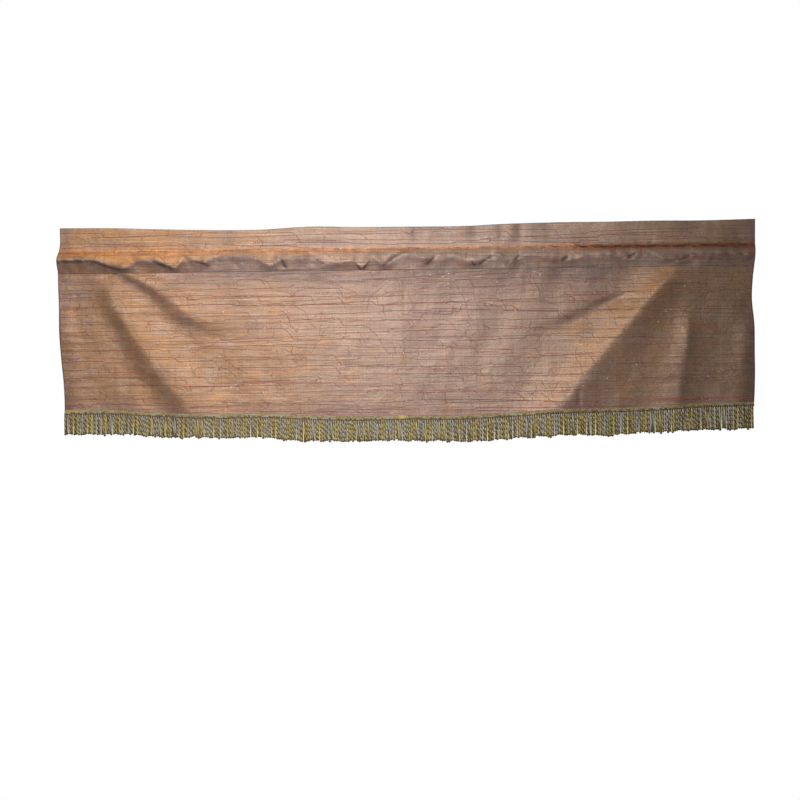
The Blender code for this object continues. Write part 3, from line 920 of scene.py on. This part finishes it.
def wander_lane(dice, level):
    """Threads of one lane from left to right, each a list of (x, z)."""
    threads = []
    x = -WIDTH / 2.0 + dice.uniform(0.0, 0.01)
    z = level + dice.uniform(-LANE_WANDER, LANE_WANDER)
    thread = [(x, z)]
    limit = WIDTH / 2.0 - 0.003
    slope = 0.0
    while x < limit:
        end = min(x + dice.uniform(0.020, 0.120), limit)
        while x < end:
            slope += dice.gauss(0.0, 0.006) + 0.6 * (level - z)
            slope = min(max(slope, -LANE_SLOPE), LANE_SLOPE)
            x = min(x + THREAD_STEP, end)
            z += slope * THREAD_STEP
            thread.append((x, z))
        habit = dice.choices(list(HABITS), HABITS.values())[0]
        to_lane = 1.0 if level > z else -1.0
        if habit == "step to lane":
            shift(thread, dice.uniform(0.004, 0.008), to_lane * dice.uniform(0.0015, 0.0040), 6)
        elif habit == "step down":
            shift(thread, dice.uniform(0.006, 0.014), -dice.uniform(0.008, 0.020), 9)
        elif habit == "step up":
            shift(thread, dice.uniform(0.003, 0.006), dice.uniform(0.004, 0.012), 8)
        elif habit == "bump":
            rise = dice.uniform(0.002, 0.006)
            shift(thread, dice.uniform(0.003, 0.006), rise, 5)
            shift(thread, dice.uniform(0.003, 0.008), -rise, 5)
        elif habit == "stop":
            if dice.random() < 0.35:
                sag(thread, dice.uniform(0.018, 0.040), -dice.uniform(0.010, 0.028))
            elif dice.random() < 0.6:
                hook(thread, dice.uniform(0.004, 0.010), -dice.uniform(0.005, 0.016))
            threads.append(thread)
            x += dice.uniform(0.002, 0.040)
            z = level + dice.uniform(-LANE_WANDER, LANE_WANDER)
            thread = [(x, z)]
            if dice.random() < 0.5:
                thread = rising_start(x, z, dice.uniform(0.004, 0.012))
            slope = 0.0
        elif habit == "squiggle":
            threads.append(squiggle(dice, x + dice.uniform(-0.010, 0.010), z))
        x, z = thread[-1]
    threads.append(thread)
    return [thread for thread in threads if len(thread) > 2]


def above_braid(thread):
    """The runs of a thread that lie above the braid."""
    lowest = edge_z(np.array([x for x, _ in thread]), "braid") + 0.0015
    runs = [[]]
    for place, limit in zip(thread, lowest):
        if place[1] > limit:
            runs[-1].append(place)
        elif runs[-1]:
            runs.append([])
    return [run for run in runs if len(run) > 2]


def rising_start(x, z, rise):
    """A thread that comes up from below in a quarter turn."""
    path = []
    for angle in np.linspace(0.0, math.pi / 2.0, 7):
        path.append((x + 0.6 * rise * (1.0 - math.cos(angle)), z - rise * (1.0 - math.sin(angle))))
    return path


def sag(thread, run, rise):
    """Let a thread go down more and more steeply."""
    x, z = thread[-1]
    for share in np.linspace(0.0, 1.0, 10)[1:]:
        thread.append((x + run * share, z + rise * float(share) ** 2))


def squiggle(dice, x, z):
    """A short upright thread with a bend or two."""
    length = dice.uniform(0.008, 0.026)
    lean = dice.uniform(-0.25, 0.45)
    swing = dice.uniform(0.0008, 0.0022)
    turns = dice.uniform(0.6, 1.6)
    path = []
    for share in np.linspace(0.0, 1.0, 10):
        bend = swing * math.sin(math.tau * turns * share)
        path.append((x + lean * length * share + bend, z - length * share))
    return path


def shift(thread, run, rise, steps):
    """Carry a thread on to another level on an S-shaped path."""
    x, z = thread[-1]
    for step in range(1, steps + 1):
        share = step / steps
        thread.append((x + run * share, z + rise * float(ease(share))))


def hook(thread, run, rise):
    """End a thread in a quarter turn."""
    x, z = thread[-1]
    for angle in np.linspace(0.0, math.pi / 2.0, 6)[1:]:
        thread.append((x + run * math.sin(angle), z + rise * (1.0 - math.cos(angle))))


def stray(dice, x=None, z=None, longest=0.080):
    """A thin thread that runs down across the lanes in uneven bends."""
    x = dice.uniform(-0.66, 0.66) if x is None else x
    z = dice.uniform(-0.34, -0.09) if z is None else z
    aim = dice.uniform(0.5, 1.35)  # downward from level
    side = 1.0 if dice.random() < 0.72 else -1.0
    path = [(x, z)]
    for _ in range(round(dice.uniform(0.012, longest) / STRAY_STEP)):
        aim = min(max(aim + dice.gauss(0.0, 0.24), 0.1), 1.5)
        x += side * STRAY_STEP * math.cos(aim)
        z -= STRAY_STEP * math.sin(aim)
        path.append((x, z))
    return path


def tangle(dice):
    """A few short threads that cross each other in one place."""
    x = dice.uniform(-0.65, 0.65)
    z = dice.uniform(-0.33, -0.015)
    near = 0.007
    return [
        stray(dice, x + dice.uniform(-near, near), z + dice.uniform(-near, near), 0.022)
        for _ in range(dice.choice((2, 3, 4)))
    ]


def inside(x, down):
    """World x moved to just inside the cloth's sides."""
    left, right = side_edges(down)
    return np.clip(x, left + THREAD_INSET, right - THREAD_INSET)


def lay_on_front(path):
    """Put a path of (x, z) onto the cloth's front, as points in space."""
    x, z = np.array(path).T
    z = np.clip(z, edge_z(x, "braid") + 0.0008, edge_z(x, "top") - 0.0010)
    x = inside(x, np.maximum(-z, 0.0))
    return np.stack([x, front_y(x, z) - THREAD_LAID, z], axis=1)


def lay_on_back(path):
    """Put a path of (x, z) onto the strip's back ply, below the rounded top edge."""
    x, z = np.array(path).T
    down = np.clip(-z, TOP_ROUND, SEAM_LOW)
    z = strip_z(x, down)
    x = inside(x, down)
    return np.stack([x, strip_back(x, down) + THREAD_BEHIND, z], axis=1)


def make_threads(materials):
    """The wandering threads: one mesh for each colour of thread."""
    dice = random.Random(THREAD_SEED)
    meshes = {name: ([], []) for name in materials}
    names = list(materials)
    level = -0.006
    lane = 0
    while level > -0.374:
        for thread in sum([above_braid(whole) for whole in wander_lane(dice, level)], []):
            rose_share = 0.16 if thread[0][0] > 0.10 else 0.04
            name = dice.choices(names, [0.55, 0.45 - rose_share, rose_share])[0]
            width = THREAD_WIDTH * dice.uniform(0.75, 1.15)
            ribbon_tube(lay_on_front(thread), width, THREAD_HEIGHT, *meshes[name])
            if level > -SEAM_LOW:
                ribbon_tube(lay_on_back(thread), width, 0.0001, *meshes[name])
        level -= LANE_STEPS[lane % 2] + dice.uniform(-0.002, 0.002)
        lane += 1
    strays = [stray(dice) for _ in range(STRAYS)] + sum([tangle(dice) for _ in range(TANGLES)], [])
    for thread in sum([above_braid(whole) for whole in strays], []):
        name = dice.choices(names, [0.60, 0.36, 0.04])[0]
        width = THREAD_WIDTH * dice.uniform(0.55, 0.90)
        ribbon_tube(lay_on_front(thread), width, THREAD_HEIGHT, *meshes[name])
    return [new_object(name, *mesh, materials[name]) for name, mesh in meshes.items()]


def make_stitches(material):
    """Machine stitches along both seams of the pocket and down both side hems."""
    along = STITCH_LENGTH * np.array([0.0, 0.5, 1.0])
    stitches = []
    for down in (HEADING, SEAM_LOW):
        for start in np.arange(-WIDTH / 2.0 + 0.004, WIDTH / 2.0 - 0.006, STITCH_PITCH):
            stitches.append([(start + run, -down) for run in along])
    for side in (0.0, 1.0):
        for down in np.arange(*HEM_STITCHES, STITCH_PITCH):
            x = float(across_at(side, down)) + (1.0 - 2.0 * side) * 0.9 * SIDE_HEM
            stitches.append([(x, -down - run) for run in along])
    points, faces = [], []
    for stitch in stitches:
        ribbon_tube(lay_on_front(stitch), STITCH_WIDTH, STITCH_HEIGHT, points, faces)
    return new_object("seam_stitches", points, faces, material)


def make_glitter(material):
    """Small flat spangles scattered in loose clusters."""
    dice = random.Random(THREAD_SEED + 1)
    places = []
    for _ in range(SPANGLE_CLUSTERS):
        middle_x = dice.triangular(-0.66, 0.66, 0.55)
        middle_z = dice.uniform(-0.345, -0.012)
        for _ in range(dice.choice((1, 1, 2, 3, 7))):
            places.append((middle_x + dice.gauss(0.0, 0.012), middle_z + dice.gauss(0.0, 0.008)))
    points, faces = [], []
    for x, z in places:
        radius = dice.uniform(0.0004, 0.0010)
        lean = dice.uniform(-0.4, 0.4)
        middle = lay_on_front([(x, z)])[0]
        start = len(points)
        for angle in math.tau * np.arange(6) / 6.0:
            height = radius * math.sin(angle)
            points.append(middle + (radius * math.cos(angle), lean * height - SPANGLE_OUT, height))
        points.append(middle - (0.0, SPANGLE_BACK, 0.0))
        faces.append(tuple(range(start, start + 6)))
        for corner in range(6):
            faces.append((start + (corner + 1) % 6, start + corner, start + 6))
    return new_object("spangles", points, faces, material, smooth=False)


# The fringe


def make_braid(material):
    """The woven header: two rows of slanting stitches between two rounded edges."""
    share = np.linspace(0.0, 1.0, BRAID_COLUMNS)[:, None]
    up = np.linspace(0.0, 1.0, BRAID_ROWS)[None, :]
    x = across_at(share, EDGE_DOWN["braid"])
    z = edge_z(x, "braid") - BRAID_HEIGHT * (1.0 - up)
    x = np.broadcast_to(x, z.shape)
    slant = np.where(up < 0.5, 1.0, -1.0)
    phase = math.tau * x / BRAID_STITCH + slant * (up - 0.5) * 9.0
    crown = np.sin(math.pi * up) ** 0.35
    two_rows = np.abs(np.sin(math.tau * up))
    out = BRAID_THICK * (0.62 * crown + 0.20 * two_rows) + 0.00028 * np.sin(phase) * two_rows
    rim = hump(up - 0.04, 0.07) + hump(up - 0.96, 0.07)
    out = out + rim * (0.0004 + 0.0003 * np.sin(math.tau * x / RIM_STITCH))
    seat = front_y(x, z) - CLEAR
    front = np.stack([x, seat - out, z], axis=2)
    back = np.stack([x, seat, z], axis=2)[:, ::-1][:, ::4]
    ring = np.concatenate([front, back], axis=1)
    count = ring.shape[1]
    faces = tube_faces(0, BRAID_COLUMNS, count)
    made = new_object("fringe_braid", ring.reshape(-1, 3), faces, material)
    # Darker along the top edge, and painted shade over the lower part, behind the ropes' tops
    dark = np.zeros((BRAID_COLUMNS, count))
    dark[:, :BRAID_ROWS] = 0.60 * hump(up - 1.0, 0.10) + 0.55 * ease((0.45 - up) / 0.45)
    golden = hump(x + 0.012, 0.008) + 0.7 * hump(x + 0.662, 0.018)
    point_value(made, "rim", dark)
    point_value(made, "golden", np.repeat(golden[:, :1], count, axis=1))
    return made


def make_ropes(materials):
    """Ropes below the braid: two light plies wound on a dark core, one mesh for each colour; the core's
    darkness is partly painted shade between the plies.
    """
    dice = random.Random(ROPE_SEED)
    names = list(materials)
    chosen = {name: [] for name in names}
    share = np.linspace(0.0, 1.0, PLY_POINTS)
    close = (0.30 + 0.70 * ease(share / 0.20)) * (1.0 - 0.50 * ease((share - 0.94) / 0.06))
    for rope in range(ROPES):
        at = (rope + 0.5 * ROPE_SHARE) / ROPES
        x = float(across_at(at, 0.38))
        top = float(edge_z(x, "braid")) - BRAID_HEIGHT + ROPE_RISE + dice.uniform(0.0, 0.0036)
        slack = 0.0010 * math.sin(rope * 0.71) + 0.0008 * math.sin(rope * 0.23 + 1.0)
        tip = float(edge_z(x, "fringe")) + slack + dice.uniform(-0.0010, 0.0010)
        if dice.random() < 0.06:
            tip -= dice.uniform(0.0012, 0.0024)
        seat = float(front_y(np.array(x), np.array(top))) - CLEAR
        middle_x = x + dice.uniform(-0.0006, 0.0006) * share**2
        middle_y = seat - ROPE_OUT + dice.uniform(-0.0007, 0.0007) * share + 0.0004 * (-1.0) ** rope
        middle_z = top + (tip - top) * share
        turns = (top - tip) / (TWIST * dice.uniform(0.80, 1.20))
        phase = dice.uniform(0.0, math.tau)
        greys = 0.12 + 0.16 * float(hump(x, 0.45))
        light = dice.choices(["yarn_silver", "yarn_gold", "yarn_grey"], [0.44, 0.56 - greys, greys])[0]
        if dice.random() < LOOSE_SHARE:
            turns *= dice.uniform(0.12, 0.35)
            phase = -math.pi * (0.5 + turns)
            light = dice.choice(["yarn_silver", "yarn_grey"])
        second = "yarn_silver" if dice.random() < 0.25 else "yarn_olive"
        for ply, name in enumerate((light, second)):
            angle = phase + math.tau * (ply / 2.0 + turns * share)
            reach = PLY_OFFSET * close
            beside = middle_x + PLY_SPREAD * reach * np.cos(angle)
            centre = np.stack([beside, middle_y + reach * np.sin(angle), middle_z], axis=1)
            chosen[name].append(ply_rings(centre, angle, PLY * close**0.5))
        drop = dice.uniform(0.0008, 0.0020) if dice.random() < KNOB_SHARE else 0.0
        knob = 1.0 + 0.25 * hump(share - 0.96, 0.03) - 0.75 * ease((share - 0.96) / 0.04)
        centre = np.stack([middle_x, middle_y + 0.0 * share, middle_z - drop * share], axis=1)
        thick = CORE * (0.80 + 0.20 * ease(share / 0.15)) * knob
        chosen["yarn_brown"].append(ply_rings(centre, 0.0 * share, thick))
    return [join_plies(name, chosen[name], materials[name]) for name in names]


def ply_rings(centre, angle, thick):
    """A tube's middle line, its two cross directions and its radius at each point."""
    out = np.stack([np.cos(angle), np.sin(angle), 0.0 * angle], axis=1)
    along = unit(np.gradient(centre, axis=0))
    return centre, out, np.cross(along, out), thick


def join_plies(name, plies, material):
    """One mesh of many tubes of the same number of points."""
    angles = (math.tau * np.arange(PLY_SIDES) / PLY_SIDES)[None, :, None]
    points, faces = [], []
    for centre, out, beside, thick in plies:
        ring = np.cos(angles) * out[:, None, :] + np.sin(angles) * beside[:, None, :]
        ring = centre[:, None, :] + thick[:, None, None] * ring
        faces.extend(tube_faces(len(points), PLY_POINTS, PLY_SIDES))
        points.extend(ring.reshape(-1, 3).tolist())
    return new_object(name, points, faces, material)


# Camera, light and floor


def make_camera():
    """The photograph's view."""
    data = bpy.data.cameras.new("camera")
    data.sensor_width = SENSOR
    data.lens = SENSOR * CAMERA_DISTANCE / FRAME_WIDTH
    made = bpy.data.objects.new("camera", data)
    right = Vector((math.cos(PICTURE_TURN), 0.0, -math.sin(PICTURE_TURN)))
    up = Vector((math.sin(PICTURE_TURN), 0.0, math.cos(PICTURE_TURN)))
    turn = Matrix((right, up, right.cross(up))).transposed().to_4x4()
    made.matrix_world = Matrix.Translation((VIEW_MIDDLE[0], -CAMERA_DISTANCE, VIEW_MIDDLE[1])) @ turn
    bpy.context.scene.collection.objects.link(made)
    bpy.context.scene.camera = made


def make_light(name, place, target, width, height, power, colour):
    """A soft rectangular light that faces a point."""
    data = bpy.data.lights.new(name, "AREA")
    data.shape = "RECTANGLE"
    data.size = width
    data.size_y = height
    data.energy = power
    data.color = colour
    made = bpy.data.objects.new(name, data)
    made.location = place
    made.rotation_euler = (Vector(target) - Vector(place)).to_track_quat("-Z", "Y").to_euler()
    made.visible_camera = False
    bpy.context.scene.collection.objects.link(made)


def make_world():
    """White all round to the camera, and dimmer as a source of light."""
    world = bpy.data.worlds.new("studio")
    bpy.context.scene.world = world
    world.use_nodes = True
    tree = world.node_tree
    background = tree.nodes["Background"]
    background.inputs["Color"].default_value = (1.0, 1.0, 1.0, 1.0)
    path = tree.nodes.new("ShaderNodeLightPath")
    strength = tree.nodes.new("ShaderNodeMapRange")
    strength.inputs["To Min"].default_value = WORLD_LIGHT
    strength.inputs["To Max"].default_value = 1.0
    tree.links.new(path.outputs["Is Camera Ray"], strength.inputs["Value"])
    tree.links.new(strength.outputs["Result"], background.inputs["Strength"])


def make_floor():
    """A plain pale floor, well below the valance."""
    graph = Graph("floor_white")
    graph.shade(base_color=BLACK, specular_ior_level=0.0, emission_color=WHITE, emission_strength=1.0)
    corners = [(-1.0, -1.0), (1.0, -1.0), (1.0, 1.0), (-1.0, 1.0)]
    points = [(FLOOR_HALF * x, FLOOR_HALF * y, FLOOR_LEVEL) for x, y in corners]
    floor = new_object("floor", points, [(0, 1, 2, 3)], graph.material, smooth=False)
    floor.visible_diffuse = False
    floor.visible_glossy = False
    floor.visible_shadow = False


make_camera()
make_world()
make_floor()
make_light("key", (-0.22, -0.90, 0.05), (-0.18, 0.0, -0.18), 0.66, 0.40, 9.4, (1.0, 0.95, 0.88))
make_light("front", (-0.2, -2.6, -0.3), (-0.1, 0.0, -0.2), 1.6, 1.2, 4.6, (0.97, 0.95, 1.0))
make_light("back", (0.5, 2.4, 0.6), (0.0, 0.0, -0.2), 1.6, 1.2, 40.0, (1.0, 0.98, 0.96))
bpy.context.scene.view_settings.view_transform = "Standard"

# Tones facing up and down: partly shot colour, partly painted light and painted shade
strip_tops = (BRIGHT_COPPER, PALE_COPPER, GREY_ROSE, DULL_COPPER)
strip_cloth = cloth_material("strip_cloth", strip_tops, PALE_MAUVE, 0.15, metallic=0.20, left_gold=1.0)
panel_cloth = cloth_material("panel_cloth", [COPPER] * 4, UMBER, -0.02, metallic=0.36, left_gold=0.0)
plum_thread = thread_material("plum_thread", (0.22, 0.075, 0.085), (0.30, 0.13, 0.13))

pocket = make_pocket_cloth(strip_cloth)
panel = make_panel_cloth(panel_cloth)
threads = make_threads({
    "threads_wine": thread_material("wine_thread", (0.33, 0.085, 0.060), (0.44, 0.15, 0.10)),
    "threads_plum": plum_thread,
    "threads_rose": thread_material("rose_thread", (0.50, 0.07, 0.08), (0.60, 0.14, 0.12)),
})
stitches = make_stitches(plum_thread)
# Near-white spangles: their pale colour partly painted reflection of their metal
glitter = make_glitter(thread_material("spangle", (0.95, 0.88, 0.72), (1.0, 0.97, 0.92)))
braid = make_braid(braid_material("fringe_woven"))
ropes = make_ropes({
    "yarn_gold": yarn_material("yarn_gold", (0.66, 0.50, 0.17), (0.46, 0.33, 0.10)),
    "yarn_olive": yarn_material("fringe_olive", (0.54, 0.45, 0.14), (0.34, 0.27, 0.07)),
    "yarn_silver": yarn_material("yarn_silver", (0.63, 0.55, 0.18), (0.46, 0.39, 0.11)),
    "yarn_grey": yarn_material("yarn_grey", (0.55, 0.54, 0.36), (0.41, 0.39, 0.24)),
    # The dark core: partly the yarn's own brown, partly painted shade between the plies
    "yarn_brown": yarn_material("yarn_brown", (0.20, 0.140, 0.050), (0.10, 0.065, 0.022)),
})

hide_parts("rod_pocket")
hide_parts("panel")
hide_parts("bullion_fringe")
for piece in [pocket, panel, stitches, glitter, braid, *threads, *ropes]:
    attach(piece, ROOT)
for piece in ropes:
    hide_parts("bullion_fringe")
